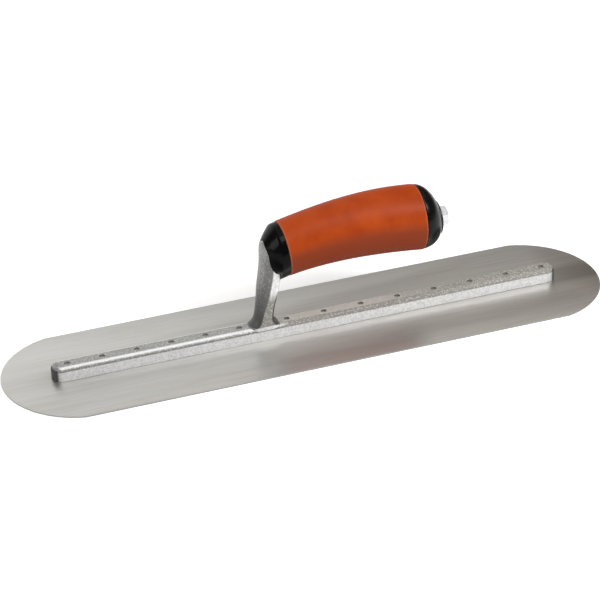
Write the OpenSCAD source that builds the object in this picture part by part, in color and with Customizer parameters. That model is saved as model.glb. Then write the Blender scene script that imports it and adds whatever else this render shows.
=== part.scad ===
// Steel finishing trowel with a round-ended blade, a cast mounting riveted along
// it and a soft grip on a curved handle.
// All sizes are in millimetres. The origin is at the centre of the blade's
// underside, +X points along the blade to the handle's free end (the heel),
// +Z points up from the working face, and the tool is symmetric about Y = 0.

/* [Blade] */
// Length over the two rounded ends
blade_length = 406.4; // [380:0.2:460]
// Width across the straight edges
blade_width = 101.6; // [76:0.2:127]
// Thickness of the sheet steel
blade_thickness = 0.8; // [0.6:0.1:1.2]
// Radius of each rounded end, as a multiple of half the width
end_radius_ratio = 1.028; // [1:0.002:1.1]

/* [Mounting bar] */
// Length of the cast bar along the blade
bar_length = 345; // [340:1:370]
// Width of the bar at its base
bar_width = 13.3; // [12.5:0.1:16]
// Height of the bar above the blade
bar_height = 9.4; // [8:0.1:12]
// How far the bar's middle lies towards the heel
bar_shift = 1; // [-1:0.5:4]
// Radius of the bar's corners in plan
bar_corner_radius = 5.8; // [4.5:0.1:6.2]
// Radius of the bar's top edges
bar_edge_radius = 3.4; // [2:0.1:4.2]

/* [Rivets] */
// Number of rivets on the toe side of the shank
toe_rivet_count = 6; // [4:1:6]
// Number of rivets on the heel side of the shank
heel_rivet_count = 8; // [5:1:8]
// Spacing of the toe-side rivets
toe_rivet_pitch = 22.9; // [20:0.1:23]
// Spacing of the heel-side rivets
heel_rivet_pitch = 25.6; // [22:0.1:25.8]
// Diameter of a rivet's body
rivet_diameter = 3; // [2.5:0.1:3.4]
// Diameter of the flush head in the blade's underside
rivet_head_diameter = 4.6; // [4:0.1:5.2]
// Diameter of the pit around each rivet's end in the bar's top
rivet_pit_diameter = 3.8; // [3.6:0.1:4.4]

/* [Shank] */
// Height of the pad's centre above the working face
pad_height = 59.6; // [58.5:0.1:60.5]
// Half the shank's width where it stands on the bar
shank_half_width = 6.4; // [5.8:0.1:6.5]
// Radius of the round pad that the shank's neck spreads into
pad_radius = 9.9; // [9:0.1:10.4]
// Diameter of the tang that runs inside the handle
tang_diameter = 12; // [11:0.1:13]
// Distance that the tang reaches past the ferrule's joint with the grip
tang_reach = 38; // [30:1:50]

/* [Handle] */
// Length of the soft grip along the blade's direction
grip_length = 92.4; // [88:0.1:96]
// Radius of the grip beside the front ferrule
grip_front_radius = 18.4; // [18.2:0.1:19]
// Radius of the grip beside the end cap
grip_rear_radius = 21.8; // [20:0.1:23]
// Width of the grip's section as a share of its height
grip_width_share = 0.94; // [0.9:0.01:1]
// Height of the grip's centre line at its highest
grip_peak_height = 67.9; // [66.5:0.1:69]
// Wall thickness of the soft grip
grip_wall = 3.6; // [3:0.1:4.5]
// Radius of the grip's lips at both ends
lip_radius = 0.8; // [0.5:0.1:1]
// Radius of the front ferrule's skirt
ferrule_radius = 18.1; // [17.6:0.1:18.2]
// Length that the end cap stands out behind the grip
cap_length = 12.8; // [11:0.1:14]

/* [Handle bolt] */
// Diameter of the bolt that clamps the handle to the tang
bolt_diameter = 7.9; // [6:0.1:8]
// Size of its hexagon head across the flats
bolt_head_flats = 12.7; // [11:0.1:14]
// Height of its head
bolt_head_height = 5.6; // [4:0.1:6]
// Diameter of the end washer
washer_diameter = 22.6; // [19:0.1:22.6]
// Thickness of the end washer
washer_thickness = 1.8; // [1.6:0.1:3.4]

/* [Hidden] */
$fn = 64;

fit_gap = 0.1;             // clearance between a shaft and its hole
through = 1;               // how far a cutting tool runs past a face

end_radius = end_radius_ratio * blade_width / 2;
bar_top = blade_thickness + bar_height;
rivet_pit_depth = 0.7;
toe_rivet_last = -46.5;    // the toe-side rivet nearest the shank
heel_rivet_first = -14.4;  // the heel-side rivet nearest the shank
toe_rivets_x = [for (i = [0 : toe_rivet_count - 1]) toe_rivet_last - i * toe_rivet_pitch];
heel_rivets_x = [for (i = [0 : heel_rivet_count - 1]) heel_rivet_first + i * heel_rivet_pitch];

// Handle layout, in the X-Z plane.
grip_front = -15.8;
grip_rear = grip_front + grip_length;
grip_peak_x = 42;          // where the grip's centre line is highest
grip_bow = 0.00181;        // fall of the centre line per square millimetre
front_lean = 6;            // degrees by which the grip's front joint leans
swell_power = 1.45;        // how early the grip swells towards the rear
bolt_height = 62.8;        // height of the tang's and bolt's common axis
cap_squash = 1.22;         // ellipse length of the cap's dome per cap length
cap_face = grip_rear + cap_length;
washer_seat = cap_face - 0.4;
head_seat = washer_seat + washer_thickness;
tang_root = -29;           // the tang starts here, inside the pad
tang_end = grip_front + tang_reach;
thread_depth = 20;
bolt_hole_radius = bolt_diameter / 2 + fit_gap;
tang_hole_radius = tang_diameter / 2 + fit_gap;

// The front ferrule's rings, from its joint with the grip to its face: [distance,
// fall of the centre, inset above, inset below, inset at the sides, lean in degrees].
// The skirt's front edge is stepped below, where the shank's neck tucks in.
ferrule_rings = [
    [0, 0, 0, 0, 0, 6], [2, 0.6, -0.1, -0.1, -0.1, 5],
    [4, 1.1, -0.1, -0.1, -0.1, 3.6], [5.2, 1.6, 0, 0, 0, 2.5],
    [5.4, 1.6, 0.1, 4.2, 0.2, 2.5], [6.8, 1.6, 2.5, 4.1, 1.5, 4],
    [8.8, 1.9, 5, 4.2, 3.6, 6], [10.6, 2.2, 7, 5.7, 5.8, 6],
    [12, 2, 8.9, 8.3, 8.1, 6], [12.4, 1.8, 10.2, 10.2, 9.6, 6]
];

grip_sides = 40;
grip_stations = 24;
shank_sides = 28;

// ---- Shape laws ----

function smooth(t) = t * t * (3 - 2 * t);
function clamp01(t) = min(1, max(0, t));
function mix(a, b, t) = a + (b - a) * t;

// Share of the grip's length at a place x along the blade.
function grip_share(x) = clamp01((x - grip_front) / grip_length);
function grip_centre(x) = grip_peak_height - grip_bow * pow(x - grip_peak_x, 2);
function grip_radius(x) =
    mix(grip_front_radius, grip_rear_radius, pow(sin(90 * grip_share(x)), swell_power));

// An upright egg-shaped ring round the handle, leaning by the given angle.
function egg_ring(x, z, above, below, half_width, lean) = [
    for (i = [0 : grip_sides - 1])
        let (a = 360 * i / grip_sides, up = (cos(a) > 0 ? above : below) * cos(a))
            [x - up * sin(lean), half_width * sin(a), z + up * cos(lean)]
];
function ring(x, z, radius, lean) =
    egg_ring(x, z, radius, radius, grip_width_share * radius, lean);
function grip_lean(x) = front_lean * (1 - grip_share(x));
function grip_ring(x, inset) = ring(x, grip_centre(x), grip_radius(x) - inset, grip_lean(x));

// Places along the grip, with a short rounded lip at each end: [x, inset].
lip_steps = 3;
function lip_inset(d) = lip_radius - sqrt(pow(lip_radius, 2) - pow(lip_radius - d, 2));
front_lip = [
    for (i = [0 : lip_steps])
        let (d = lip_radius * (1 - cos(90 * i / lip_steps))) [d, lip_inset(d)]
];
grip_middle = [
    for (i = [1 : grip_stations - 1])
        [mix(lip_radius, grip_length - lip_radius, i / grip_stations), 0]
];
rear_lip = [for (i = [lip_steps : -1 : 0]) [grip_length - front_lip[i][0], front_lip[i][1]]];
grip_profile = concat(front_lip, grip_middle, rear_lip);
core_profile = [for (i = [0 : grip_stations]) [grip_length * i / grip_stations, grip_wall]];

// The grip's rings for a profile, from its rear end to its front.
function rings_along(profile) = [
    for (i = [len(profile) - 1 : -1 : 0]) grip_ring(grip_front + profile[i][0], profile[i][1])
];

// Shank outline: front (toe-side) and back (heel-side) edges at a height z.
shank_base = 4;            // the shank is rooted inside the bar
foot_flare = 5;
flare_height = 2.2;
pad_top = pad_height + pad_radius;
function foot(z) = foot_flare * exp(-max(0, z - bar_top) / flare_height);
function shank_front(z) =
    -35.6 + 0.094 * (z - 17) + 1.1 * smooth(clamp01((z - 35) / 20)) - foot(z);
function shank_back(z) = -25.2 + 5.6 * smooth(clamp01((z - 10) / 38)) + foot(z);
function shank_split(z) =
    mix(0.3, 0.58, smooth(clamp01((z - 12) / 22))) * (1 - 0.6 * smooth(clamp01((z - 50) / 18)));

// The shank spreads sideways into a round pad, which closes at its top.
function pad_width(z) = sqrt(max(0, pow(pad_radius, 2) - pow(z - pad_height, 2)));
function neck_width(z) =
    mix(shank_half_width, pad_radius, smooth(clamp01((z - 20) / (pad_height - 20))));
function shank_width(z) = z < pad_height ? neck_width(z) : pad_width(z);
function tip_share(z) = z < pad_height ? 1 : pad_width(z) / pad_radius;
foot_levels = [for (d = [0, 0.8, 1.8, 3, 4.6, 7]) bar_top + d];
neck_levels = [for (i = [0 : 9]) mix(21, pad_height, i / 9)];
pad_levels = [for (a = [14 : 14 : 84]) pad_height + pad_radius * sin(a)];
shank_z = concat([shank_base], foot_levels, neck_levels, pad_levels);

// One level of the shank: a half ellipse in front, squarer corners behind.
back_power = 2 / 7;
pad_back = -28;            // the pad's tip curls back towards this line
function signed_power(v, p) = sign(v) * pow(abs(v), p);
function shank_ring(z) =
    let (
        front = mix(pad_back, shank_front(z), mix(0.75, 1, tip_share(z))),
        back = shank_back(z),
        split = mix(front, back, shank_split(z)),
        w = shank_width(z)
    ) [
        for (i = [0 : shank_sides - 1])
            let (a = 360 * i / shank_sides, c = cos(a), s = sin(a))
                c < -0.001
                    ? [split + (split - front) * c, w * s, z]
                    : [split + (back - split) * pow(max(0, c), back_power),
                       w * signed_power(s, back_power), z]
    ];

// ---- Building blocks ----

function wall_faces(first, second, n) = [
    for (i = [0 : n - 1])
        let (j = (i + 1) % n)
            each [[first + i, second + i, second + j], [first + i, second + j, first + j]]
];
function reversed(faces) = [for (f = faces) [f[2], f[1], f[0]]];
function cap_faces(start, n) = [for (i = [1 : n - 2]) [start, start + i, start + i + 1]];
function flat(rings) = [for (r = rings) each r];

// A solid through a list of rings with flat ends.
module loft(rings) {
    n = len(rings[0]);
    last = len(rings) - 1;
    sides = [for (k = [0 : last - 1]) each wall_faces(k * n, (k + 1) * n, n)];
    polyhedron(flat(rings), concat(sides, cap_faces(0, n), reversed(cap_faces(last * n, n))));
}

// A hollow sleeve between an outer and an inner list of rings.
module sleeve(outer, inner) {
    n = len(outer[0]);
    a = len(outer) - 1;
    b = len(inner) - 1;
    start = (a + 1) * n;
    outside = [for (k = [0 : a - 1]) each wall_faces(k * n, (k + 1) * n, n)];
    inside = [for (k = [0 : b - 1]) each wall_faces(start + k * n, start + (k + 1) * n, n)];
    ends = concat(
        wall_faces(start, 0, n),
        reversed(wall_faces(start + b * n, a * n, n))
    );
    polyhedron(concat(flat(outer), flat(inner)), concat(outside, reversed(inside), ends));
}

// A round bar lying along X.
module rod_x(from, to, radius, z) {
    translate([from, 0, z]) rotate([0, 90, 0]) cylinder(h = to - from, r = radius);
}

// Half outline of a bar: upright side and a rounded top edge.
module bar_profile(half_width) {
    r = bar_edge_radius;
    polygon(concat(
        [[0, 0], [half_width, 0]],
        [for (a = [0 : 10 : 90]) [half_width - r + r * cos(a), bar_height - r + r * sin(a)]],
        [[0, bar_height]]
    ));
}

module full_profile(half_width) {
    bar_profile(half_width);
    mirror([1, 0]) bar_profile(half_width);
}

// The straight bar with rounded corners in plan and rounded top edges.
module bar() {
    r = bar_corner_radius;
    along = bar_length / 2 - r;
    across = bar_width / 2 - r;
    translate([bar_shift, 0, blade_thickness]) {
        rotate([90, 0, 90])
            linear_extrude(2 * along, center = true) full_profile(bar_width / 2);
        rotate([90, 0, 0])
            linear_extrude(2 * across, center = true) full_profile(bar_length / 2);
        for (sx = [-1, 1], sy = [-1, 1])
            translate([sx * along, sy * across, 0]) rotate_extrude() bar_profile(r);
    }
}

module shank() {
    loft([for (z = shank_z) shank_ring(z)]);
}

module ferrule_body() {
    joint_z = grip_centre(grip_front);
    half_width = grip_width_share * ferrule_radius;
    loft([
        for (r = ferrule_rings)
            egg_ring(grip_front - r[0], joint_z - r[1], ferrule_radius - r[2],
                ferrule_radius - r[3], half_width - r[4], r[5])
    ]);
}

module rivet_positions(places) {
    for (x = places) translate([x, 0, 0]) children();
}

// One countersunk rivet: flush head below, body up to the pit in the bar's top.
module rivet() {
    body_r = rivet_diameter / 2;
    head_r = rivet_head_diameter / 2;
    rotate_extrude() polygon([
        [0, 0], [head_r, 0], [body_r, blade_thickness],
        [body_r, bar_top - rivet_pit_depth - 0.3], [body_r - 0.3, bar_top - rivet_pit_depth],
        [0, bar_top - rivet_pit_depth]
    ]);
}

// The hole that the same rivet fills in the bar, with its pit.
module rivet_hole() {
    body_r = rivet_diameter / 2;
    translate([0, 0, -through]) cylinder(h = bar_top + 2 * through, r = body_r);
    translate([0, 0, bar_top - rivet_pit_depth])
        cylinder(h = rivet_pit_depth + 0.01, r1 = body_r, r2 = rivet_pit_diameter / 2);
}

// ---- Sub-parts ----

module blade() {
    centre = blade_length / 2 - end_radius;
    color("lightsteelblue") difference() {
        intersection() {
            union() {
                translate([-centre, -blade_width / 2, 0])
                    cube([2 * centre, blade_width, blade_thickness]);
                for (s = [-1, 1]) translate([s * centre, 0, 0])
                    cylinder(h = blade_thickness, r = end_radius, $fn = 180);
            }
            translate([-blade_length, -blade_width / 2, -through])
                cube([2 * blade_length, blade_width, blade_thickness + 2 * through]);
        }
        rivet_positions(concat(toe_rivets_x, heel_rivets_x))
            cylinder(h = blade_thickness, r1 = rivet_head_diameter / 2, r2 = rivet_diameter / 2);
    }
}

// The shank is hollowed to seat the ferrule, but stays whole where the tang leaves it.
module mounting() {
    color("silver") difference() {
        union() {
            bar();
            difference() {
                shank();
                difference() {
                    ferrule_body();
                    rod_x(tang_root - 5, tang_end, tang_diameter / 2 - 0.2, bolt_height);
                }
            }
            rod_x(tang_root, tang_end, tang_diameter / 2, bolt_height);
        }
        rivet_positions(concat(toe_rivets_x, heel_rivets_x)) rivet_hole();
        rod_x(tang_end - thread_depth, tang_end + through, bolt_hole_radius, bolt_height);
    }
}

module toe_rivets() {
    color("gray") rivet_positions(toe_rivets_x) rivet();
}

module heel_rivets() {
    color("gray") rivet_positions(heel_rivets_x) rivet();
}

module front_ferrule() {
    color("#202020") difference() {
        ferrule_body();
        rod_x(tang_root - 5, grip_front + 5, tang_hole_radius, bolt_height);
    }
}

module handle_core() {
    color("#303030") difference() {
        loft(rings_along(core_profile));
        rod_x(grip_front - 5, tang_end, tang_hole_radius, bolt_height);
        rod_x(tang_end - through, grip_rear + through, bolt_hole_radius, bolt_height);
    }
}

module soft_grip() {
    color("orangered") sleeve(rings_along(grip_profile), rings_along(core_profile));
}

// The cap's dome is an ellipse, cut off flat where the washer sits.
cap_levels = 12;
function cap_radius(d) = (grip_rear_radius - 0.3) * sqrt(1 - pow(d / (cap_squash * cap_length), 2));
function cap_ring(d) =
    let (share = d / cap_length)
        ring(grip_rear + d, mix(grip_centre(grip_rear), bolt_height, share * share), cap_radius(d), 0);

module end_cap() {
    color("#252525") difference() {
        loft([for (i = [cap_levels : -1 : 0]) cap_ring(cap_length * sin(90 * i / cap_levels))]);
        rod_x(washer_seat, cap_face + through, washer_diameter / 2, bolt_height);
        rod_x(grip_rear - through, cap_face + through, bolt_hole_radius, bolt_height);
    }
}

module end_washer() {
    rim = 0.6;
    color("#404040") difference() {
        union() {
            rod_x(washer_seat, head_seat - rim, washer_diameter / 2, bolt_height);
            translate([head_seat - rim, 0, bolt_height]) rotate([0, 90, 0])
                cylinder(h = rim, r1 = washer_diameter / 2, r2 = washer_diameter / 2 - rim);
        }
        rod_x(washer_seat - through, head_seat + through, bolt_hole_radius, bolt_height);
    }
}

module handle_bolt() {
    corner = bolt_head_flats / sqrt(3);
    chamfer = 0.8;
    color("gainsboro") union() {
        rod_x(tang_end - thread_depth + 2, head_seat + 0.5, bolt_diameter / 2, bolt_height);
        translate([head_seat, 0, bolt_height]) rotate([0, 90, 0]) intersection() {
            cylinder(h = bolt_head_height, r = corner, $fn = 6);
            union() {
                cylinder(h = bolt_head_height - chamfer, r = corner + 0.2);
                translate([0, 0, bolt_head_height - chamfer])
                    cylinder(h = chamfer, r1 = corner + 0.2, r2 = corner - 1.4);
            }
        }
    }
}

blade();
mounting();
toe_rivets();
heel_rivets();
front_ferrule();
handle_core();
soft_grip();
end_cap();
end_washer();
handle_bolt();
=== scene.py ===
import math

import bpy
from mathutils import Matrix, Vector


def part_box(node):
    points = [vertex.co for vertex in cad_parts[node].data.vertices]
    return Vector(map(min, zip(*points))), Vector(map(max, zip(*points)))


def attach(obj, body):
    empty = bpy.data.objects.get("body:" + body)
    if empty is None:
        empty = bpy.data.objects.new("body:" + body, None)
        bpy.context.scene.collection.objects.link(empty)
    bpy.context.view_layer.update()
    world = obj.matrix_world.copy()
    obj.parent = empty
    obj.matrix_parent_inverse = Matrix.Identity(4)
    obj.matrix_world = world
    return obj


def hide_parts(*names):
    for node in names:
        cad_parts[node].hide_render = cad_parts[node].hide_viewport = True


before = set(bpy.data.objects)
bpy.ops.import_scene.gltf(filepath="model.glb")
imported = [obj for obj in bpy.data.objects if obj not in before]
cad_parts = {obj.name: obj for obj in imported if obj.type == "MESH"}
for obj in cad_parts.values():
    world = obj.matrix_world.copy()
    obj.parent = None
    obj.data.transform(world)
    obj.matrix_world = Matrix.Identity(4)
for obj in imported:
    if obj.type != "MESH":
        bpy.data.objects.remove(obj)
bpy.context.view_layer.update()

MM = 0.001

# ---- Layout, in millimetres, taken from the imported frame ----


def box_mm(node):
    """The corners of a CAD node's box, in millimetres."""
    low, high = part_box(node)
    return low / MM, high / MM


blade_high = box_mm("blade")[1]
bolt_low, bolt_high = box_mm("handle_bolt")
washer_low, washer_high = box_mm("end_washer")
BLADE_TOP = blade_high.z
BOLT_Z = (washer_low.z + washer_high.z) / 2
WASHER_SEAT = washer_low.x
HEAD_SEAT = washer_high.x

# ---- Shape laws of the handle ----

GRIP_FRONT = -15.8
GRIP_LENGTH = 92.4
GRIP_REAR = GRIP_FRONT + GRIP_LENGTH
GRIP_FRONT_RADIUS = 18.4
GRIP_REAR_RADIUS = 21.8
GRIP_WIDTH_SHARE = 0.94
GRIP_PEAK_HEIGHT = 67.9
GRIP_PEAK_X = 42
GRIP_BOW = 0.00181
GRIP_WALL = 3.6
FRONT_LEAN = 6
SWELL_POWER = 1.45
LIP_RADIUS = 0.8
CAP_LENGTH = 12.8
CAP_SQUASH = 1.22
CAP_INSET = 0.3
CAP_RIM_EDGE = 0.25
FERRULE_RADIUS = 18.1
RING_SIDES = 144


def smooth(t):
    return t * t * (3 - 2 * t)


def clamp01(t):
    return min(1.0, max(0.0, t))


def mix(a, b, t):
    return a + (b - a) * t


def grip_share(x):
    """How far along the grip a place is, from 0 at the ferrule to 1 at the cap."""
    return clamp01((x - GRIP_FRONT) / GRIP_LENGTH)


def grip_centre(x):
    return GRIP_PEAK_HEIGHT - GRIP_BOW * (x - GRIP_PEAK_X) ** 2


def grip_radius(x):
    swell = math.sin(math.pi / 2 * grip_share(x)) ** SWELL_POWER
    return mix(GRIP_FRONT_RADIUS, GRIP_REAR_RADIUS, swell)


def grip_lean(x):
    return FRONT_LEAN * (1 - grip_share(x))


def egg_ring(x, z, above, below, half_width, lean):
    """An upright egg shape round the handle, leaning by an angle in degrees."""
    points = []
    tilt = math.radians(lean)
    for i in range(RING_SIDES):
        a = 2 * math.pi * i / RING_SIDES
        up = (above if math.cos(a) > 0 else below) * math.cos(a)
        points.append((
            x - up * math.sin(tilt), -half_width * math.sin(a), z + up * math.cos(tilt),
        ))
    return points


def ring(x, z, radius, lean):
    """The grip's section: a little narrower than it is high."""
    return egg_ring(x, z, radius, radius, GRIP_WIDTH_SHARE * radius, lean)


def grip_ring(distance, inset):
    """A ring of the grip at a distance behind its front joint, drawn in by an inset."""
    x = GRIP_FRONT + distance
    return ring(x, grip_centre(x), grip_radius(x) - inset, grip_lean(x))


# ---- Mesh helpers ----

LEVEL_FACE = 0.9999


def new_piece(name, verts, faces, sharp_degrees=35.0):
    """A smooth-shaded mesh object from points in millimetres."""
    mesh = bpy.data.meshes.new(name)
    mesh.from_pydata([Vector(v) * MM for v in verts], [], faces)
    mesh.validate()
    mesh.update()
    shade(mesh, sharp_degrees)
    piece = bpy.data.objects.new(name, mesh)
    bpy.context.scene.collection.objects.link(piece)
    return piece


def shade(mesh, sharp_degrees):
    """Smooth shading with sharp edges past an angle; level faces stay flat."""
    for face in mesh.polygons:
        face.use_smooth = abs(face.normal.z) < LEVEL_FACE
    mesh.set_sharp_from_angle(angle=math.radians(sharp_degrees))


def wall(start_a, start_b, sides):
    """Quads between two rings of points, given the number of each ring's first point."""
    quads = []
    for i in range(sides):
        j = (i + 1) % sides
        quads.append((start_a + i, start_a + j, start_b + j, start_b + i))
    return quads


def loft(rings, closed=False):
    """Points and faces of a skin through rings; closed joins the last ring to the first."""
    sides = len(rings[0])
    verts = [p for r in rings for p in r]
    faces = []
    for k in range(len(rings) - 1):
        faces += wall(k * sides, (k + 1) * sides, sides)
    last = (len(rings) - 1) * sides
    if closed:
        faces += wall(last, 0, sides)
    else:
        faces.append(tuple(reversed(range(sides))))
        faces.append(tuple(range(last, last + sides)))
    return verts, faces


def catmull(a, b, c, d, t):
    """A smooth curve from b to c that also heeds the values before and after."""
    return 0.5 * (
        2 * b + (c - a) * t
        + (2 * a - 5 * b + 4 * c - d) * t * t
        + (3 * b - a - 3 * c + d) * t ** 3
    )


def finer(rows, steps):
    """Rows of numbers with smoothly curved rows added between them."""
    result = []
    last = len(rows) - 1
    for k in range(last):
        around = [rows[max(0, k - 1)], rows[k], rows[k + 1], rows[min(last, k + 2)]]
        for s in range(steps):
            result.append([catmull(*values, s / steps) for values in zip(*around)])
    result.append(list(rows[last]))
    return result


# ---- Handle pieces ----

GRIP_STATIONS = 88
LIP_STEPS = 8
BORE_STEPS = 24


def lip_profile():
    """Distance from the grip's end and inset of its rounded lip."""
    rows = []
    for i in range(LIP_STEPS + 1):
        a = math.pi / 2 * i / LIP_STEPS
        rows.append((LIP_RADIUS * (1 - math.cos(a)), LIP_RADIUS * (1 - math.sin(a))))
    return rows


def make_grip():
    """The bowed sleeve, with rounded lips and a bore for the core."""
    lip = lip_profile()
    outer = list(lip)
    for i in range(1, GRIP_STATIONS):
        outer.append((mix(LIP_RADIUS, GRIP_LENGTH - LIP_RADIUS, i / GRIP_STATIONS), 0.0))
    outer += [(GRIP_LENGTH - d, inset) for d, inset in reversed(lip)]
    inner = [(GRIP_LENGTH * (1 - i / BORE_STEPS), GRIP_WALL) for i in range(BORE_STEPS + 1)]
    rings = [grip_ring(d, inset) for d, inset in outer + inner]
    verts, faces = loft(rings, closed=True)
    return new_piece("grip_sleeve", verts, faces)


# The ferrule's rings: distance, fall of the centre, insets above, below and at the
# sides, lean in degrees. The skirt ends in a step that shows below only.
SKIRT_ROWS = [
    [0.0, 0.0, 0.35, 0.35, 0.35, 6], [0.2, 0.05, 0.05, 0.05, 0.05, 6],
    [0.5, 0.12, 0, 0, 0, 5.9], [2, 0.6, -0.1, -0.1, -0.1, 5], [4, 1.1, -0.1, -0.1, -0.1, 3.6],
    [4.9, 1.5, -0.03, -0.02, -0.02, 2.7], [5.1, 1.58, 0.0, 0.1, 0.0, 2.5],
    [5.2, 1.6, 0.02, 0.35, 0.03, 2.5],
]
NOSE_ROWS = [
    [5.4, 1.6, 0.25, 4.2, 0.2, 2.5], [6.8, 1.6, 2.5, 4.1, 1.5, 4],
    [8.8, 1.9, 5, 4.2, 3.6, 6], [10.6, 2.2, 7, 5.7, 5.8, 6],
    [12, 2, 8.9, 8.3, 8.1, 6], [12.4, 1.8, 10.2, 10.2, 9.6, 6],
]


def make_ferrule():
    """The skirt and nose in front of the grip, narrowing to the shank's pad."""
    joint_z = grip_centre(GRIP_FRONT)
    half_width = GRIP_WIDTH_SHARE * FERRULE_RADIUS
    rows = finer(SKIRT_ROWS, 3) + finer(NOSE_ROWS, 8)
    rings = [
        egg_ring(
            GRIP_FRONT - d, joint_z - fall, FERRULE_RADIUS - above,
            FERRULE_RADIUS - below, half_width - aside, lean,
        )
        for d, fall, above, below, aside, lean in reversed(rows)
    ]
    verts, faces = loft(rings)
    return new_piece("ferrule_moulding", verts, faces, sharp_degrees=28)


def cap_radius(d):
    share = d / (CAP_SQUASH * CAP_LENGTH)
    return (GRIP_REAR_RADIUS - CAP_INSET) * math.sqrt(1 - share * share)


def make_cap():
    """The domed end cap, whose far end leans towards the bolt."""
    joint_z = grip_centre(GRIP_REAR)
    rings = []
    steps = 40
    for i in range(steps + 1):
        d = CAP_LENGTH * math.sin(math.pi / 2 * i / steps)
        z = mix(joint_z, BOLT_Z, (d / CAP_LENGTH) ** 2)
        soften = CAP_RIM_EDGE if i == 0 else 0.0
        rings.append(ring(GRIP_REAR + d, z, cap_radius(d) - soften, 0))
    verts, faces = loft(rings)
    return new_piece("cap_dome", verts, faces, sharp_degrees=40)


# ---- Turned pieces along the bolt's axis ----

WASHER_EDGE = 0.55
WASHER_BACK_EDGE = (0.15, 0.3)
DISH_DEPTH = 0.25
DISH_RIM = 1.1
DISH_SLOPE = 0.5
HEAD_CLEARANCE = 7.6
CLEARANCE_SLOPE = 0.2
HEAD_FOOT = 0.1
HEAD_SIDES = 144
# Rings at the bolt head's end: how far below the end, and how far inside the corners.
HEAD_CHAMFER = [(0.75, 0.0), (0.45, 0.45), (0.12, 1.0), (0.0, 1.5), (0.0, 2.6), (0.35, 3.0)]
HEAD_CUP = (0.4, 0.4)


def circle(radius, sides):
    """Points of a circle, as a pair of distances from its centre."""
    turns = [2 * math.pi * i / sides for i in range(sides)]
    return [(radius * math.cos(a), radius * math.sin(a)) for a in turns]


def turned(profile, z, sides=96):
    """Rings round an axis along X, for a profile of (x, radius)."""
    return [[(x, -across, z + up) for up, across in circle(radius, sides)] for x, radius in profile]


def bored(profile, x, sides=32):
    """A skin round an upright axis at x, for a profile of (z, radius)."""
    return loft([[(x + u, v, z) for u, v in circle(radius, sides)] for z, radius in profile])


def rounded_corner(x, radius, edge, steps=6):
    """Profile points of a rounded rim edge that ends at x."""
    points = []
    for i in range(steps + 1):
        a = math.pi / 2 * i / steps
        points.append((x - edge * (1 - math.sin(a)), radius - edge * (1 - math.cos(a))))
    return points


def make_washer():
    """A thick disc with a rounded rim and a shallow dish round the bolt's head."""
    radius = (washer_high.z - washer_low.z) / 2
    depth, inset = WASHER_BACK_EDGE
    floor = HEAD_SEAT - DISH_DEPTH
    profile = [(WASHER_SEAT, radius - inset), (WASHER_SEAT + depth, radius)]
    profile += rounded_corner(HEAD_SEAT, radius, WASHER_EDGE)
    profile += [(HEAD_SEAT - 0.02, radius - DISH_RIM), (floor, radius - DISH_RIM - DISH_SLOPE)]
    profile += [(floor, HEAD_CLEARANCE + CLEARANCE_SLOPE), (HEAD_SEAT, HEAD_CLEARANCE)]
    verts, faces = loft(turned(profile, BOLT_Z))
    return new_piece("washer_disc", verts, faces, sharp_degrees=30)


def hexagon_reach(angle):
    """Distance to a hexagon's side in a direction, for half flats of 1."""
    part = (angle + math.pi / 6) % (math.pi / 3) - math.pi / 6
    return 1 / math.cos(part)


def hexagon_ring(x, half_flats, limit):
    """A hexagon with its corners cut off at a distance from its middle."""
    points = []
    for i in range(HEAD_SIDES):
        a = 2 * math.pi * i / HEAD_SIDES
        reach = min(half_flats * hexagon_reach(a + math.pi / 6), limit)
        points.append((x, -reach * math.sin(a), BOLT_Z + reach * math.cos(a)))
    return points


def make_bolt_head():
    """Chamfered hexagon head with softened edges and a shallow cup."""
    half_flats = (bolt_high.y - bolt_low.y) / 2
    corner = half_flats / math.cos(math.pi / 6)
    uncut = corner + 1
    chamfer_start = bolt_high.x - HEAD_CHAMFER[0][0]
    levels = [(HEAD_SEAT, corner), (HEAD_SEAT + HEAD_FOOT, uncut), (chamfer_start - 0.15, uncut)]
    levels += [(bolt_high.x - below, corner - inside) for below, inside in HEAD_CHAMFER]
    cup_depth, cup_radius = HEAD_CUP
    levels.append((bolt_high.x - cup_depth, cup_radius))
    rings = [hexagon_ring(x, half_flats, limit) for x, limit in levels]
    verts, faces = loft(rings)
    return new_piece("bolt_head", verts, faces, sharp_degrees=22)


# ---- Mounting: bar, shank and pad ----

BAR_SHIFT = 1
BAR_LENGTH = 345
BAR_BASE_WIDTH = 13.3
BAR_HEIGHT = 9.4
BAR_TOP = BLADE_TOP + BAR_HEIGHT
BAR_CORNER_RADIUS = 5.8
BAR_EDGE_RADIUS = 3.4
BAR_FOOT_EDGE = 0.25
RIVET_RADIUS = 1.5
RIVET_GAP = 0.02
PIT_RADIUS = 1.9
PIT_DEPTH = 0.7
TOE_RIVETS = [-46.5 - 22.9 * i for i in range(6)]
HEEL_RIVETS = [-14.4 + 25.6 * i for i in range(8)]
PAD_HEIGHT = 59.6
PAD_RADIUS = 9.9
PAD_BACK = -28
SHANK_BASE = 4
SHANK_HALF_WIDTH = 6.4
SHANK_FRONT = -35.6
SHANK_SLOPE = 0.094
SLOPE_START = 17
FRONT_BEND = 1.1
SHANK_BACK = -25.2
BACK_BEND = 5.6
FOOT_FLARE = 5
FLARE_HEIGHT = 2.2
SPLIT_FOOT = 0.3
SPLIT_MIDDLE = 0.58
SPLIT_FADE = 0.6
BACK_POWER = 2 / 7
# Where the shank's shape changes: a height to start from and the length it takes.
FRONT_RISE = (35, 20)
BACK_RISE = (10, 38)
SPLIT_RISE = (12, 22)
SPLIT_FALL = (50, 18)
WIDTH_START = 20
TIP_FRONT = 0.75
TIP_ANGLE = 86


def rise(z, start, length):
    """A smooth step from 0 to 1 that starts at a height."""
    return smooth(clamp01((z - start) / length))


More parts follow.
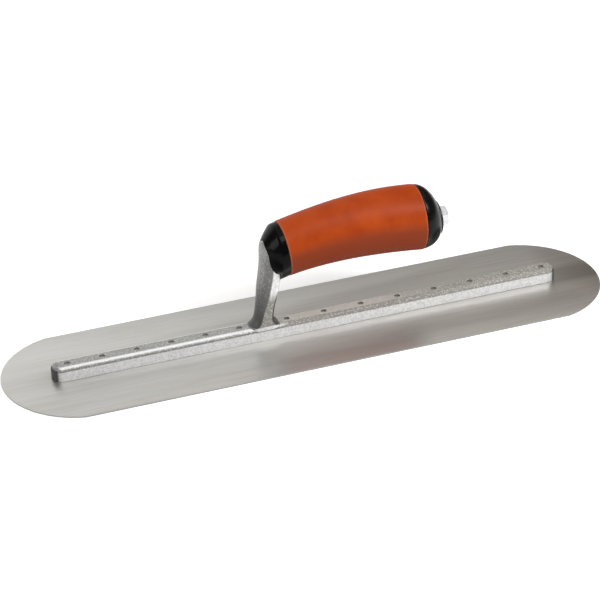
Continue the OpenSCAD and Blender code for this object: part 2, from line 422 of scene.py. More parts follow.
def foot(z):
    """How far the shank's foot spreads at a height, forwards and backwards."""
    return FOOT_FLARE * math.exp(-max(0, z - BAR_TOP) / FLARE_HEIGHT)


def shank_front(z):
    lean = SHANK_SLOPE * (z - SLOPE_START)
    return SHANK_FRONT + lean + FRONT_BEND * rise(z, *FRONT_RISE) - foot(z)


def shank_back(z):
    return SHANK_BACK + BACK_BEND * rise(z, *BACK_RISE) + foot(z)


def shank_split(z):
    """Where the rounded front of the shank's section meets its squarer back."""
    share = mix(SPLIT_FOOT, SPLIT_MIDDLE, rise(z, *SPLIT_RISE))
    return share * (1 - SPLIT_FADE * rise(z, *SPLIT_FALL))


def pad_width(z):
    return math.sqrt(max(0.0, PAD_RADIUS ** 2 - (z - PAD_HEIGHT) ** 2))


def shank_width(z):
    if z >= PAD_HEIGHT:
        return pad_width(z)
    return mix(SHANK_HALF_WIDTH, PAD_RADIUS, rise(z, WIDTH_START, PAD_HEIGHT - WIDTH_START))


def signed_power(v, p):
    return math.copysign(abs(v) ** p, v)


def shank_ring(z, sides=96):
    """The shank's section at a height: an ellipse in front, nearly a box behind."""
    tip = 1.0 if z < PAD_HEIGHT else pad_width(z) / PAD_RADIUS
    front = mix(PAD_BACK, shank_front(z), mix(TIP_FRONT, 1, tip))
    back = shank_back(z)
    split = mix(front, back, shank_split(z))
    w = shank_width(z)
    points = []
    for i in range(sides):
        a = 2 * math.pi * i / sides
        c, s = math.cos(a), math.sin(a)
        if c < -0.001:
            points.append((split + (split - front) * c, w * s, z))
        else:
            points.append((
                split + (back - split) * max(0.0, c) ** BACK_POWER,
                w * signed_power(s, BACK_POWER), z,
            ))
    return points


def make_shank():
    """A skin through the shank's sections, closer together where its foot spreads."""
    levels = [SHANK_BASE]
    levels += [BAR_TOP - 2 + 0.5 * i for i in range(26)]
    levels += [BAR_TOP + 11 + 1.2 * i for i in range(32)]
    levels = [z for z in levels if z < PAD_HEIGHT]
    steps = 20
    top_angle = math.radians(TIP_ANGLE)
    levels += [PAD_HEIGHT + PAD_RADIUS * math.sin(top_angle * i / steps) for i in range(steps + 1)]
    return loft([shank_ring(z) for z in levels])


def bar_outline(half_length, half_width, corner, steps=16):
    """Rounded rectangle in plan, as points with the outward direction of each."""
    points = []
    centres = [(1, 1, 0), (-1, 1, 90), (-1, -1, 180), (1, -1, 270)]
    for sx, sy, start in centres:
        cx = sx * (half_length - corner)
        cy = sy * (half_width - corner)
        for i in range(steps + 1):
            a = math.radians(start + 90 * i / steps)
            points.append((cx, cy, math.cos(a), math.sin(a)))
    return points


def make_bar():
    """The bar as rings in plan that draw in over its rounded top edge."""
    corners = bar_outline(BAR_LENGTH / 2, BAR_BASE_WIDTH / 2, BAR_CORNER_RADIUS)
    edge = BAR_EDGE_RADIUS
    levels = [(BAR_CORNER_RADIUS - BAR_FOOT_EDGE, 0.0), (BAR_CORNER_RADIUS, BAR_FOOT_EDGE)]
    steps = 12
    for i in range(steps + 1):
        a = math.pi / 2 * i / steps
        levels.append((
            BAR_CORNER_RADIUS - edge * (1 - math.cos(a)),
            BAR_HEIGHT - edge * (1 - math.sin(a)),
        ))
    rings = []
    for reach, up in levels:
        rings.append([
            (BAR_SHIFT + cx + nx * reach, cy + ny * reach, BLADE_TOP + up)
            for cx, cy, nx, ny in corners
        ])
    return loft(rings)


def cut_with(target, cutter):
    """Takes the cutter's shape out of the target and removes the cutter."""
    modifier = target.modifiers.new("cut", "BOOLEAN")
    modifier.operation = "DIFFERENCE"
    modifier.solver = "EXACT"
    modifier.object = cutter
    graph = bpy.context.evaluated_depsgraph_get()
    mesh = bpy.data.meshes.new_from_object(target.evaluated_get(graph))
    target.modifiers.clear()
    shade(mesh, sharp_degrees=30)
    target.data = mesh
    bpy.data.objects.remove(cutter)


def merged(parts):
    """Several skins as one list of points and one of faces."""
    verts, faces = [], []
    for part_verts, part_faces in parts:
        start = len(verts)
        verts += part_verts
        faces += [tuple(start + i for i in f) for f in part_faces]
    return verts, faces


def mesh_data(piece):
    """A piece's points, in metres, and its faces."""
    verts = [v.co.copy() for v in piece.data.vertices]
    return verts, [tuple(p.vertices) for p in piece.data.polygons]


def pit_cutter(x):
    """The funnel round a rivet's end, with the rivet's hole below it."""
    hole = RIVET_RADIUS + RIVET_GAP
    floor = BAR_TOP - PIT_DEPTH
    funnel = [(floor, hole), (BAR_TOP, PIT_RADIUS), (BAR_TOP + 0.3, PIT_RADIUS + 0.25)]
    return bored([(floor - 0.6, hole)] + funnel, x)


def cutters(name, make_cutter):
    """One object with a cutter at every rivet."""
    return new_piece(name, *merged([make_cutter(x) for x in TOE_RIVETS + HEEL_RIVETS]))


def make_mounting():
    """The bar with its rivet pits, and the shank that grows out of it."""
    piece = new_piece("mounting_casting", *make_bar())
    cut_with(piece, cutters("pit_cutters", pit_cutter))
    shank = new_piece("shank", *make_shank())
    joined = bpy.data.meshes.new("mounting_casting")
    verts, faces = merged([mesh_data(piece), mesh_data(shank)])
    joined.from_pydata(verts, [], faces)
    joined.validate()
    joined.update()
    shade(joined, sharp_degrees=32)
    piece.data = joined
    bpy.data.objects.remove(shank)
    return piece


# ---- Blade ----

END_ROUNDNESS = 1.028
END_RADIUS = END_ROUNDNESS * blade_high.y
HEAD_RADIUS = 2.3
# The blade's edge from its lower face up: inset and height, to half of its thickness.
HALF_EDGE = [(0.12, 0.0), (0.03, 0.04), (0.0, 0.12)]


def blade_outline():
    """Points of the blade's plan: an arc at each end, joined by straight sides."""
    centre = blade_high.x - END_RADIUS
    reach = math.asin(blade_high.y / END_RADIUS)
    steps = 72
    outline = []
    for side in (1, -1):
        for i in range(steps + 1):
            a = mix(-reach, reach, i / steps)
            x = centre + END_RADIUS * math.cos(a)
            outline.append((side * x, side * END_RADIUS * math.sin(a)))
    return outline


def inward(x, y, inset):
    """A point of the blade's outline moved in by a small amount."""
    length = math.hypot(x, y * blade_high.x / blade_high.y)
    return (x - inset * x / length, y - (inset if y > 0 else -inset))


def hole_cutter(x):
    """A countersunk hole, wide at the blade's underside."""
    head = HEAD_RADIUS + RIVET_GAP
    return bored([(-RIVET_GAP, head), (BLADE_TOP + RIVET_GAP, RIVET_RADIUS)], x)


def make_blade():
    """Round-ended sheet with finely rounded edges and countersunk rivet holes."""
    levels = HALF_EDGE + [(inset, BLADE_TOP - z) for inset, z in reversed(HALF_EDGE)]
    outline = blade_outline()
    rings = []
    for inset, z in levels:
        rings.append([inward(x, y, inset) + (z,) for x, y in outline])
    piece = new_piece("blade_sheet", *loft(rings), sharp_degrees=50)
    cut_with(piece, cutters("hole_cutters", hole_cutter))
    return piece


# ---- Material nodes ----


class Tree:
    """Short ways to add nodes to one node tree."""

    def __init__(self, tree):
        self.tree = tree

    def node(self, kind, **settings):
        made = self.tree.nodes.new(kind)
        for key, value in settings.items():
            setattr(made, key, value)
        return made

    def feed(self, socket, value):
        """Sets a socket to a number or a colour, or links another node's output to it."""
        if isinstance(value, (int, float)):
            socket.default_value = value
        elif isinstance(value, tuple):
            socket.default_value = (*value, 1.0)
        else:
            self.tree.links.new(value, socket)

    def ramp(self, value, low, high, low_out=0.0, high_out=1.0, kind="LINEAR"):
        """Maps a value from one range to another, clamped."""
        made = self.node("ShaderNodeMapRange", interpolation_type=kind)
        made.inputs["From Min"].default_value = low
        made.inputs["From Max"].default_value = high
        made.inputs["To Min"].default_value = low_out
        made.inputs["To Max"].default_value = high_out
        self.feed(made.inputs["Value"], value)
        return made.outputs["Result"]

    def math(self, operation, *values):
        made = self.node("ShaderNodeMath", operation=operation)
        for socket, value in zip(made.inputs, values):
            self.feed(socket, value)
        return made.outputs["Value"]

    def both(self, *masks):
        """Where all of the masks hold."""
        result = masks[0]
        for mask in masks[1:]:
            result = self.math("MULTIPLY", result, mask)
        return result

    def blend(self, factor, first, second):
        """A colour between two; each may be a plain colour or a node's output."""
        made = self.node("ShaderNodeMix", data_type="RGBA")
        self.feed(made.inputs[0], factor)
        self.feed(made.inputs[6], first)
        self.feed(made.inputs[7], second)
        return made.outputs[2]

    def parts(self, vector):
        """The three parts of a vector."""
        split = self.node("ShaderNodeSeparateXYZ")
        self.feed(split.inputs[0], vector)
        return split.outputs


class Finish(Tree):
    """The node tree of one material."""

    def __init__(self, name):
        self.material = bpy.data.materials.new(name)
        self.material.use_nodes = True
        super().__init__(self.material.node_tree)
        self.shader = self.tree.nodes["Principled BSDF"]

    def place(self, scale=(1, 1, 1)):
        """Object coordinates in metres, stretched by a scale in each direction."""
        coords = self.node("ShaderNodeTexCoord")
        mapping = self.node("ShaderNodeMapping")
        mapping.inputs["Scale"].default_value = scale
        self.feed(mapping.inputs["Vector"], coords.outputs["Object"])
        return mapping.outputs["Vector"]

    def normal(self):
        """The three parts of the surface's direction."""
        return self.parts(self.node("ShaderNodeNewGeometry").outputs["Normal"])

    def noise(self, scale, stretch=(1, 1, 1), detail=3.0, roughness=0.5):
        made = self.node("ShaderNodeTexNoise")
        made.inputs["Scale"].default_value = scale
        made.inputs["Detail"].default_value = detail
        made.inputs["Roughness"].default_value = roughness
        self.feed(made.inputs["Vector"], self.place(stretch))
        return made.outputs["Fac"]

    def cells(self, scale, feature="F1"):
        made = self.node("ShaderNodeTexVoronoi", feature=feature)
        made.inputs["Scale"].default_value = scale
        self.feed(made.inputs["Vector"], self.place())
        return made.outputs["Distance"]

    def zone(self, place, start, end, start_out=0.0, end_out=1.0):
        """A mask that changes between two places, given in millimetres."""
        return self.ramp(place, start * MM, end * MM, start_out, end_out)

    def bump(self, height, depth, strength=1.0):
        """Relief from a height map, with its depth in millimetres."""
        made = self.node("ShaderNodeBump")
        made.inputs["Distance"].default_value = depth * MM
        made.inputs["Strength"].default_value = strength
        self.feed(made.inputs["Height"], height)
        return made.outputs["Normal"]

    def set(self, **values):
        """Sets or links the shader's sockets by name."""
        for key, value in values.items():
            self.feed(self.shader.inputs[key.replace("_", " ")], value)


# ---- Blade's finish ----

# The range that most of a noise texture stays in.
NOISE_SPAN = (0.3, 0.7)
STEEL_DARK = (0.52, 0.51, 0.49)
STEEL_BRIGHT = (0.65, 0.64, 0.62)
STEEL_CLOUD = (0.50, 0.48, 0.45)
STEEL_SMEAR = (0.47, 0.44, 0.40)
# Colour of the painted shade on the blade beside the bar.
STEEL_PAINTED_SHADE = (0.16, 0.15, 0.135)
STEEL_EDGE = (0.30, 0.295, 0.285)
# How far the noise is stretched: few changes along the blade, many across it.
BRUSH_FINE = (22, 3000, 3000)
BRUSH_BROAD = (7, 1100, 1100)
SMEAR_STRETCH = (14, 90, 90)
CLOUD_SHARE = 0.2
SMEAR_SHARE = 0.42
# Painted shade beside the bar: how far out it reaches in millimetres, and how strong it is from toe
# to heel.
PAINTED_SHADE_NEAR = 6.8
PAINTED_SHADE_FAR = 14
PAINTED_SHADE_TOE = (-20, 0.08)
PAINTED_SHADE_HEEL = (120, 0.4)


def steel_colour(n, lines):
    """Brushed steel with clouds and smears, and painted shade beside the bar: a contact shadow that
    also dims the bar's reflection, stronger towards the heel.
    """
    cloud = n.noise(16, detail=3)
    smear = n.noise(1, SMEAR_STRETCH, detail=4, roughness=0.6)
    colour = n.blend(n.ramp(lines, 0.32, 0.68), STEEL_DARK, STEEL_BRIGHT)
    colour = n.blend(n.ramp(cloud, 0.35, 0.75, 0.0, CLOUD_SHARE), colour, STEEL_CLOUD)
    colour = n.blend(n.ramp(smear, 0.48, 0.75, 0.0, SMEAR_SHARE), colour, STEEL_SMEAR)
    x, y, _ = n.parts(n.place())
    # Painted shade: the blade darkens beside the bar as a contact shadow that also damps the bar's
    # reflection, more towards the heel.
    beside_bar = n.zone(n.math("ABSOLUTE", y), PAINTED_SHADE_FAR, PAINTED_SHADE_NEAR)
    (start, start_share), (end, end_share) = PAINTED_SHADE_TOE, PAINTED_SHADE_HEEL
    along = n.zone(x, start, end, start_share, end_share)
    return n.blend(n.both(beside_bar, along), colour, STEEL_PAINTED_SHADE)


def blade_material():
    """Spring steel, brushed lengthwise, with faint handling marks and a dull cut edge."""
    n = Finish("brushed_spring_steel")
    fine = n.noise(1, BRUSH_FINE, detail=2)
    broad = n.noise(1, BRUSH_BROAD, detail=3)
    lines = n.math("ADD", n.math("MULTIPLY", fine, 0.7), n.math("MULTIPLY", broad, 0.3))
    face = n.ramp(n.math("ABSOLUTE", n.normal()[2]), 0.4, 0.9)
    n.set(
        Base_Color=n.blend(face, STEEL_EDGE, steel_colour(n, lines)),
        Metallic=0.93,
        Specular_IOR_Level=0.2,
        Roughness=n.ramp(lines, *NOISE_SPAN, 0.34, 0.40),
        Anisotropic=0.3,
        Normal=n.bump(lines, 0.01, 0.35),
    )
    across = n.node("ShaderNodeCombineXYZ")
    across.inputs["Y"].default_value = 1.0
    n.feed(n.shader.inputs["Tangent"], across.outputs[0])
    return n.material


# ---- Casting's finish ----

SANDY_LIGHT = (0.64, 0.62, 0.58)
SANDY_DARK = (0.32, 0.308, 0.284)
# Colour of the painted fill of light on the bar's top under the handle.
TOP_PAINTED_FILL = (0.82, 0.79, 0.74)
DULL_LIGHT = (0.52, 0.52, 0.515)
DULL_DARK = (0.26, 0.26, 0.255)
# Colour of the painted shade at the shank's foot, its flanks and the fillet.
FOOT_PAINTED_SHADE = (0.10, 0.10, 0.098)
TOP_LIGHT = (0.68, 0.68, 0.67)
TOP_DARK = (0.36, 0.36, 0.35)
RIDGE_LIGHT = (0.78, 0.78, 0.77)
BRIGHT_DARK = (0.72, 0.72, 0.73)
BRIGHT_LIGHT = (1.0, 1.0, 1.0)
# Colour of the painted shade on the shank's rounded rear corners.
REAR_PAINTED_SHADE = (0.06, 0.058, 0.055)
BAR_END = (0.03, 0.03, 0.03)
PIT_FLOOR = (0.24, 0.232, 0.22)
SPECKLES = (0.05, 0.5)
SIDE_TURNS = (0.12, 0.3)
SHANK_X = -30.4
# Where the casting's finish and its painted shade and light change, in millimetres: from the first
# place to the second.
HEEL_ZONE = (-24, -14)
# Painted fill of light on the top under the handle, from none to half.
PAINTED_FILL_SPAN = (100, 50)
# Painted shade: the shank turns sandy and darker below, so its bright upper sides read as a
# highlight.
SHANK_SHADE_SPAN = (36, 28)
# Painted shade on the shank's rear corners, fading out upwards.
REAR_SHADE_SPAN = (36, 30)
# Painted shade on the shank's front, growing towards its foot.
FRONT_SHADE_SPAN = (45, 16)
# Painted shade in the fillet round the shank's foot: heights and reach.
FILLET_HEIGHT = (19, 14.5)
FILLET_REACH = (12.5, 10.5)
PIT_STRETCH = (169, 167)


class Casting(Finish):
    """Cast aluminium: sides worn bright by rubbing, grainy as-cast top and shank front, darker ends
    and pits; painted shade at the shank's foot, flanks, lower sides, rear and fillets, and a
    painted fill of light on the top under the handle."""

    def __init__(self):
        super().__init__("cast_aluminium_finish")
        self.x, self.y, self.z = self.parts(self.place())
        self.across, sideways, self.level = self.normal()
        self.flank = self.math("ABSOLUTE", sideways)
        self.end_on = self.math("ABSOLUTE", self.across)
        self.grain = self.noise(1500, detail=4, roughness=0.6)
        self.speckle = self.ramp(self.cells(760), *SPECKLES)
        self.on_bar = self.zone(self.z, BAR_TOP + 0.6, BAR_TOP + 0.2)
        self.on_shank = self.math("SUBTRACT", 1.0, self.on_bar)
        self.heel = self.zone(self.x, *HEEL_ZONE)
        self.above = self.both(self.ramp(self.level, *SIDE_TURNS), self.on_bar)
        self.flat_top = self.both(self.ramp(self.level, 0.975, 0.998), self.on_bar)
        self.sandy = self.blend(self.speckle, SANDY_LIGHT, SANDY_DARK)
        self.dull = self.blend(self.speckle, DULL_LIGHT, DULL_DARK)

    def rubbed_metal(self):
        """The bright side, with the crystals of the metal showing."""
        fine = self.math("MULTIPLY", self.grain, 0.5)
        broad = self.math("MULTIPLY", self.noise(700, detail=2), 0.5)
        crystal = self.ramp(self.math("ADD", fine, broad), 0.36, 0.6)
        return self.blend(crystal, BRIGHT_DARK, BRIGHT_LIGHT)

    def bar_colour(self):
        """Bright sides; at the toe a dull shoulder, its dark band also painted shade, and a ridge
        polished by rubbing; a sandy heel top, lightened under the handle by a painted fill of
        light.
        """
        bright = self.rubbed_metal()
        ridge = self.blend(self.ramp(self.level, 0.3, 0.5), bright, RIDGE_LIGHT)
        # The toe shoulder's dark band is dull cast grain and also painted shade: it keeps the
        # ridge's highlight narrow.
        shoulder = self.both(self.above, self.ramp(self.level, 0.90, 0.70))
        toe = self.blend(shoulder, ridge, self.dull)
        toe = self.blend(self.flat_top, toe, self.blend(self.speckle, TOP_LIGHT, TOP_DARK))
        # Painted light: the sandy top is lightened near the shank, under the handle, to fill the
        # handle's shadow.
        painted_fill = self.both(self.flat_top, self.zone(self.x, *PAINTED_FILL_SPAN, 0.0, 0.5))
        heel = self.blend(self.above, bright, self.blend(painted_fill, self.sandy, TOP_PAINTED_FILL))
        return self.blend(self.heel, toe, heel)

    def with_shank(self, colour):
        """Adds the shank: as-cast in front; painted shade makes its sides sandy and dark below,
        darkens its front towards the foot and across its flanks, and darkens its rear corners.
        """
        # Painted shade and highlight: the shank's sides turn sandy and darker below and stay bright
        # above.
        low = self.both(self.zone(self.z, *SHANK_SHADE_SPAN), self.on_shank)
        colour = self.blend(low, colour, self.sandy)
        # Painted shade on the shank's rounded rear corners, below its middle.
        rear = self.both(
            self.ramp(self.across, 0.12, 0.35), self.zone(self.z, *REAR_SHADE_SPAN), self.on_shank,
        )
        colour = self.blend(rear, colour, REAR_PAINTED_SHADE)
        # Painted shade: the shank's front darkens towards its foot and across its flanks.
        front = self.both(self.ramp(self.across, -0.03, -0.14), self.on_shank)
        skin = self.blend(self.zone(self.z, *FRONT_SHADE_SPAN), self.dull, FOOT_PAINTED_SHADE)
        skin = self.blend(self.ramp(self.flank, 0.5, 0.95, 0.0, 0.4), skin, FOOT_PAINTED_SHADE)
        return self.blend(front, colour, skin)

    def with_fillet(self, colour):
        """Paints shade into the fillet where the shank grows out of the bar."""
        away = self.math("ABSOLUTE", self.math("SUBTRACT", self.x, SHANK_X * MM))
        fillet = self.both(
            self.zone(self.z, BAR_TOP + 0.01, BAR_TOP + 0.2), self.zone(self.z, *FILLET_HEIGHT),
            self.zone(away, *FILLET_REACH), self.ramp(self.level, 0.08, 0.3),
        )
        return self.blend(fillet, colour, FOOT_PAINTED_SHADE)

    def with_ends(self, colour):
        """Darkens the bar's end faces nearly to black, and dulls a rim above them."""
        from_middle = self.math("ABSOLUTE", self.math("SUBTRACT", self.x, BAR_SHIFT * MM))
        end = BAR_LENGTH / 2
        near_end = self.zone(from_middle, end - 5.3, end - 3.3)
        rim = self.math("MAXIMUM", self.ramp(self.end_on, 0.15, 0.4), near_end)
        rim = self.both(rim, self.ramp(self.level, 0.2, 0.5), self.on_bar)
        colour = self.blend(rim, colour, self.blend(self.heel, self.dull, self.sandy))
        face = self.both(
            self.ramp(self.end_on, 0.38, 0.6, 0.0, 0.93), self.ramp(self.level, 0.75, 0.5),
            self.on_bar,
        )
        return self.blend(face, colour, BAR_END)

    def with_pits(self, colour):
        """Greys the funnels round the rivets' ends."""
        pit = self.both(
            self.zone(self.math("ABSOLUTE", self.y), PIT_RADIUS + 0.5, PIT_RADIUS + 0.2),
            self.zone(self.z, BAR_TOP - 0.05, BAR_TOP - 0.15),
            self.zone(self.z, BAR_TOP - 1.0, BAR_TOP - 0.8),
            self.zone(self.math("ABSOLUTE", self.x), *PIT_STRETCH),
        )
        return self.blend(pit, colour, PIT_FLOOR)


def casting_material():
    n = Casting()
    colour = n.with_shank(n.bar_colour())
    colour = n.with_pits(n.with_ends(n.with_fillet(colour)))
    relief = n.math("ADD", n.grain, n.math("MULTIPLY", n.noise(300, detail=3), 0.7))
    as_cast = n.math("MAXIMUM", n.both(n.above, n.heel), n.flat_top)
    worn = n.ramp(n.grain, 0.25, 0.75, 0.36, 0.56)
    n.set(
        Base_Color=colour,
        Metallic=0.55,
        Roughness=n.math("MAXIMUM", worn, n.math("MULTIPLY", as_cast, 0.75)),
        Normal=n.bump(relief, 0.16, 0.7),
    )
    return n.material


# ---- Other finishes ----

RIVET_DARK = (0.26, 0.254, 0.243)
RIVET_LIGHT = (0.42, 0.413, 0.40)
ORANGE_DARK = (0.328, 0.039, 0.003)
ORANGE_LIGHT = (0.432, 0.060, 0.007)
# Colour of the painted shade on the grip's lower half.
ORANGE_PAINTED_SHADE = (0.235, 0.036, 0.0085)
# Colour of the painted highlight on the grip's rounded lips, and how much of it shows.
ORANGE_LIP_HIGHLIGHT = (0.42, 0.13, 0.07)
LIP_HIGHLIGHT_SHARE = 0.7
CORE_DARK = (0.02, 0.02, 0.02)
CORE_LIGHT = (0.035, 0.035, 0.035)
ZINC_CLEAN = (0.66, 0.66, 0.68)
ZINC_STAIN = (0.52, 0.52, 0.54)
SCUFF_STRETCH = (120, 900, 900)
TURNING_STRETCH = (6000, 200, 200)


def rivet_material():
    """Steel rivet ends, ground flush and a little rough."""
    n = Finish("rivet_steel_finish")
    grain = n.noise(2200, detail=3)
    n.set(
        Base_Color=n.blend(n.ramp(grain, *NOISE_SPAN), RIVET_DARK, RIVET_LIGHT),
        Metallic=1.0,
        Roughness=n.ramp(grain, *NOISE_SPAN, 0.35, 0.55),
        Normal=n.bump(grain, 0.06, 0.5),
    )
    return n.material


def grip_lip(n):
    """A mask of the grip's rounded lips, at both of its ends, where a painted highlight goes."""
    x, _, z = n.parts(n.place())
    height = n.math("SUBTRACT", z, grip_centre(GRIP_FRONT) * MM)
    lean = n.math("MULTIPLY", height, math.tan(math.radians(FRONT_LEAN)))
    front_gap = n.math("ADD", n.math("ADD", x, lean), -GRIP_FRONT * MM)
    rear_gap = n.math("SUBTRACT", GRIP_REAR * MM, x)
    return n.zone(n.math("MINIMUM", front_gap, rear_gap), 1.2, 0.4, 0.0, LIP_HIGHLIGHT_SHARE)


def grip_material():
    """Soft-touch orange with a fine moulded grain and a surface slightly worn by rubbing, painted
    shade on its lower half and a painted highlight on its rounded lips.
    """
    n = Finish("soft_orange_grip")
    pebble = n.cells(1700, "SMOOTH_F1")
    grain = n.noise(2600, detail=2)
    cloud = n.noise(55, detail=4)
    colour = n.blend(n.ramp(cloud, 0.35, 0.7), ORANGE_DARK, ORANGE_LIGHT)
    # Painted shade: the grip's lower half, facing down, turns a darker brown.
    colour = n.blend(n.ramp(n.normal()[2], 0.32, -0.02), colour, ORANGE_PAINTED_SHADE)
    n.set(
        # Painted highlight on the grip's rounded lips.
        Base_Color=n.blend(grip_lip(n), colour, ORANGE_LIP_HIGHLIGHT),
        Roughness=n.ramp(cloud, *NOISE_SPAN, 0.4, 0.5),
        Specular_IOR_Level=0.1,
        Normal=n.bump(n.math("ADD", pebble, n.math("MULTIPLY", grain, 0.4)), 0.06, 0.35),
    )
    return n.material


def black_material(name, roughness, shade, gloss):
    """Moulded black plastic with a faint grain and fine scuffs."""
    n = Finish(name)
    grain = n.noise(2400, detail=2)
    scuff = n.noise(1, SCUFF_STRETCH, detail=3)
    clean = (shade, shade, shade * 1.05)
    scuffed = (shade * 2, shade * 2, shade * 2)
    n.set(
        Base_Color=n.blend(n.ramp(scuff, 0.55, 0.8), clean, scuffed),
        Roughness=n.ramp(scuff, 0.4, 0.8, roughness, roughness + 0.15),
        Specular_IOR_Level=gloss,
        Normal=n.bump(grain, 0.03, 0.25),
    )
    return n.material


def core_material():
    """Plain dark moulding."""
    n = Finish("core_moulding")
    grain = n.noise(900, detail=3)
    n.set(
        Base_Color=n.blend(grain, CORE_DARK, CORE_LIGHT),
        Roughness=n.ramp(grain, *NOISE_SPAN, 0.5, 0.7),
        Normal=n.bump(grain, 0.05, 0.4),
    )
    return n.material


def plated_material():
    """Bright zinc plating with faint turning marks and small stains."""
    n = Finish("bright_zinc_plate")
    spots = n.noise(500, detail=4)
    marks = n.noise(1, TURNING_STRETCH, detail=2)
    n.set(
        Base_Color=n.blend(n.ramp(spots, 0.45, 0.75), ZINC_CLEAN, ZINC_STAIN),
        Metallic=1.0,
        Roughness=n.ramp(marks, *NOISE_SPAN, 0.16, 0.3),
        Normal=n.bump(marks, 0.006, 0.15),
    )
    return n.material


# ---- Assembly ----


def paint(piece, material):
    piece.data.materials.clear()
    piece.data.materials.append(material)


def paint_node(name, material):
    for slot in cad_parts[name].material_slots:
        slot.material = material


def place_piece(piece, material, node):
    """Paints a piece and puts it in the place of a CAD node."""
    paint(piece, material)
    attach(piece, "root")
    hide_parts(node)


ferrule_finish = black_material("ferrule_gloss_black", roughness=0.16, shade=0.002, gloss=0.08)
cap_finish = black_material("cap_black", roughness=0.2, shade=0.003, gloss=0.15)
washer_finish = black_material("washer_black", roughness=0.28, shade=0.006, gloss=0.3)
rivet_finish = rivet_material()

place_piece(make_blade(), blade_material(), "blade")
place_piece(make_mounting(), casting_material(), "mounting")
place_piece(make_grip(), grip_material(), "soft_grip")
place_piece(make_ferrule(), ferrule_finish, "front_ferrule")
place_piece(make_cap(), cap_finish, "end_cap")
place_piece(make_washer(), washer_finish, "end_washer")
place_piece(make_bolt_head(), plated_material(), "handle_bolt")
paint_node("toe_rivets", rivet_finish)
paint_node("heel_rivets", rivet_finish)
paint_node("handle_core", core_material())


# ---- Floor ----

FLOOR_REACH = 3.0
FLOOR_Z = -0.0002
FLOOR_GLOW = 0.22


def make_floor():
    """A plain pale floor just under the blade."""
    mesh = bpy.data.meshes.new("floor")
    corners = [(-1, -1), (1, -1), (1, 1), (-1, 1)]
    points = [(x * FLOOR_REACH, y * FLOOR_REACH, FLOOR_Z) for x, y in corners]
    mesh.from_pydata(points, [], [(0, 1, 2, 3)])
    floor = bpy.data.objects.new("floor", mesh)
    bpy.context.scene.collection.objects.link(floor)
    n = Finish("pale_floor")
    n.set(
        Base_Color=(0.97, 0.97, 0.97),
        Roughness=0.9,
        Specular_IOR_Level=0.1,
        Emission_Color=(1.0, 1.0, 1.0),
        Emission_Strength=FLOOR_GLOW,
    )
    paint(floor, n.material)


# ---- Light ----

# Edges of the surroundings: heights as the sine of the elevation, directions in degrees
# to the right of the far side.
LOW_WALL = 0.52
HIGH_WALL = 0.80
CEILING = (0.82, 0.93)
FRONT_EDGE = 0.12
BACK_START = -30.0
BACK_END = -50.0
BACK_LEFT = 2.0
BACK_RIGHT = 33.0
TOP_LEFT = (0.81, 0.805, 0.805)
TOP_RIGHT = (0.58, 0.535, 0.475)
BACK_BRIGHT = (1.15, 1.165, 1.15)
BACK_DIM = (0.14, 0.105, 0.08)
FRONT_DARK = (0.16, 0.16, 0.16)
OVERHEAD = (1.02, 1.02, 1.02)
BACKDROP = (0.99, 0.99, 0.99)


def studio(n):
    """Light by direction: dark in front, bright behind on the left, dimmer and warmer on
    the right, with an even ceiling."""
    x, y, z = n.parts(n.node("ShaderNodeTexCoord").outputs["Generated"])

    def step(value, start, end):
        return n.ramp(value, start, end, kind="SMOOTHSTEP")

    azimuth = n.math("ARCTAN2", x, y)
    rightward = step(azimuth, math.radians(BACK_LEFT), math.radians(BACK_RIGHT))
    low = n.blend(rightward, BACK_BRIGHT, BACK_DIM)
    high = n.blend(rightward, TOP_LEFT, TOP_RIGHT)
    behind = n.blend(step(z, LOW_WALL, HIGH_WALL), low, high)
    leftmost = step(azimuth, math.radians(BACK_START), math.radians(BACK_END))
    behind = n.blend(leftmost, behind, FRONT_DARK)
    walls = n.blend(step(y, FRONT_EDGE, -FRONT_EDGE), behind, FRONT_DARK)
    return n.blend(step(z, *CEILING), walls, OVERHEAD)


def make_world():
    """The studio round the object, and a plain backdrop where the camera sees past it."""
    world = bpy.data.worlds.new("studio")
    bpy.context.scene.world = world
    world.use_nodes = True
    world.node_tree.nodes.clear()
    n = Tree(world.node_tree)
    light_path = n.node("ShaderNodeLightPath")
    background = n.node("ShaderNodeBackground")
    output = n.node("ShaderNodeOutputWorld")
    seen = n.blend(light_path.outputs["Is Camera Ray"], studio(n), BACKDROP)
    n.feed(background.inputs["Color"], seen)
    n.feed(output.inputs[0], background.outputs[0])


def area_light(name, place, target, size, power):
    lamp = bpy.data.lights.new(name, "AREA")
    lamp.shape = "RECTANGLE"
    lamp.size, lamp.size_y = size
    lamp.energy = power
    holder = bpy.data.objects.new(name, lamp)
    bpy.context.scene.collection.objects.link(holder)
    holder.location = place
    holder.rotation_mode = "QUATERNION"
    holder.rotation_quaternion = (Vector(target) - Vector(place)).to_track_quat("-Z", "Y")


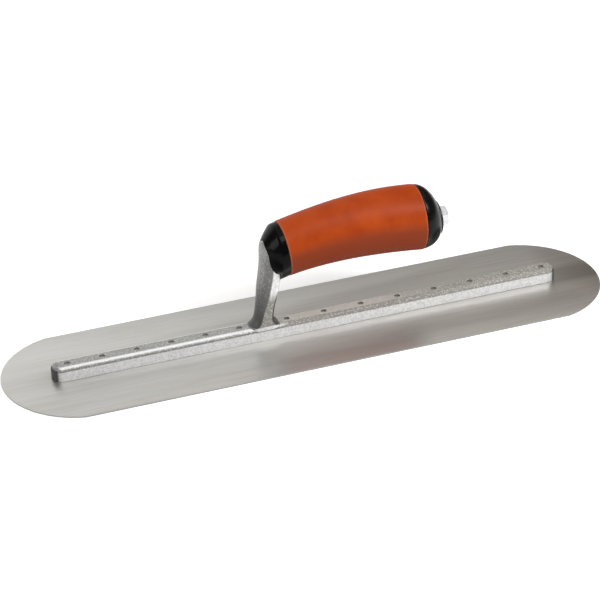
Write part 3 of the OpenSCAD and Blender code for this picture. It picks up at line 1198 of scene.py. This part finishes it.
def make_lights():
    """A near softbox and a high panel in front, and a weaker softbox on the left."""
    area_light("front_right_softbox", (0.50, -0.58, 0.78), (0.05, 0, 0.03), (0.36, 0.28), 5.9)
    area_light("front_high_panel", (0.15, -0.95, 2.0), (0.0, 0, 0.03), (1.0, 0.8), 14.0)
    area_light("left_softbox", (-1.3, 0.1, 0.45), (-0.03, 0, 0.04), (0.5, 0.5), 3.0)


# ---- Camera ----

LENS = 157.4
SENSOR = 36.0
VIEW_AZIMUTH = -18.9678
VIEW_ELEVATION = 30.3797
VIEW_ROLL = -1.761
VIEW_YAW = 0.152
VIEW_PITCH = 0.606
VIEW_DISTANCE = 1.7026
CLIP_START = 0.05
CLIP_END = 50


def turn_pair(first, second, degrees):
    """Two axes at right angles, turned together from the first towards the second."""
    a = math.radians(degrees)
    return first * math.cos(a) + second * math.sin(a), second * math.cos(a) - first * math.sin(a)


def camera_axes(back):
    """The camera's right, up and back directions, with its small turns added."""
    forward = -back
    right = forward.cross(Vector((0, 0, 1))).normalized()
    up = right.cross(forward)
    right, forward = turn_pair(right, forward, VIEW_YAW)
    forward, up = turn_pair(forward, up, VIEW_PITCH)
    right, up = turn_pair(right, up, VIEW_ROLL)
    return right, up, -forward


def make_camera():
    azimuth = math.radians(VIEW_AZIMUTH)
    elevation = math.radians(VIEW_ELEVATION)
    back = Vector((
        math.sin(azimuth) * math.cos(elevation),
        -math.cos(azimuth) * math.cos(elevation),
        math.sin(elevation),
    ))
    data = bpy.data.cameras.new("camera")
    data.lens = LENS
    data.sensor_width = SENSOR
    data.clip_start = CLIP_START
    data.clip_end = CLIP_END
    camera = bpy.data.objects.new("camera", data)
    bpy.context.scene.collection.objects.link(camera)
    turn = Matrix(camera_axes(back)).transposed().to_4x4()
    camera.matrix_world = Matrix.Translation(back * VIEW_DISTANCE) @ turn
    bpy.context.scene.camera = camera


make_floor()
make_world()
make_lights()
make_camera()
bpy.context.scene.view_settings.view_transform = "Standard"
bpy.context.scene.view_settings.look = "None"
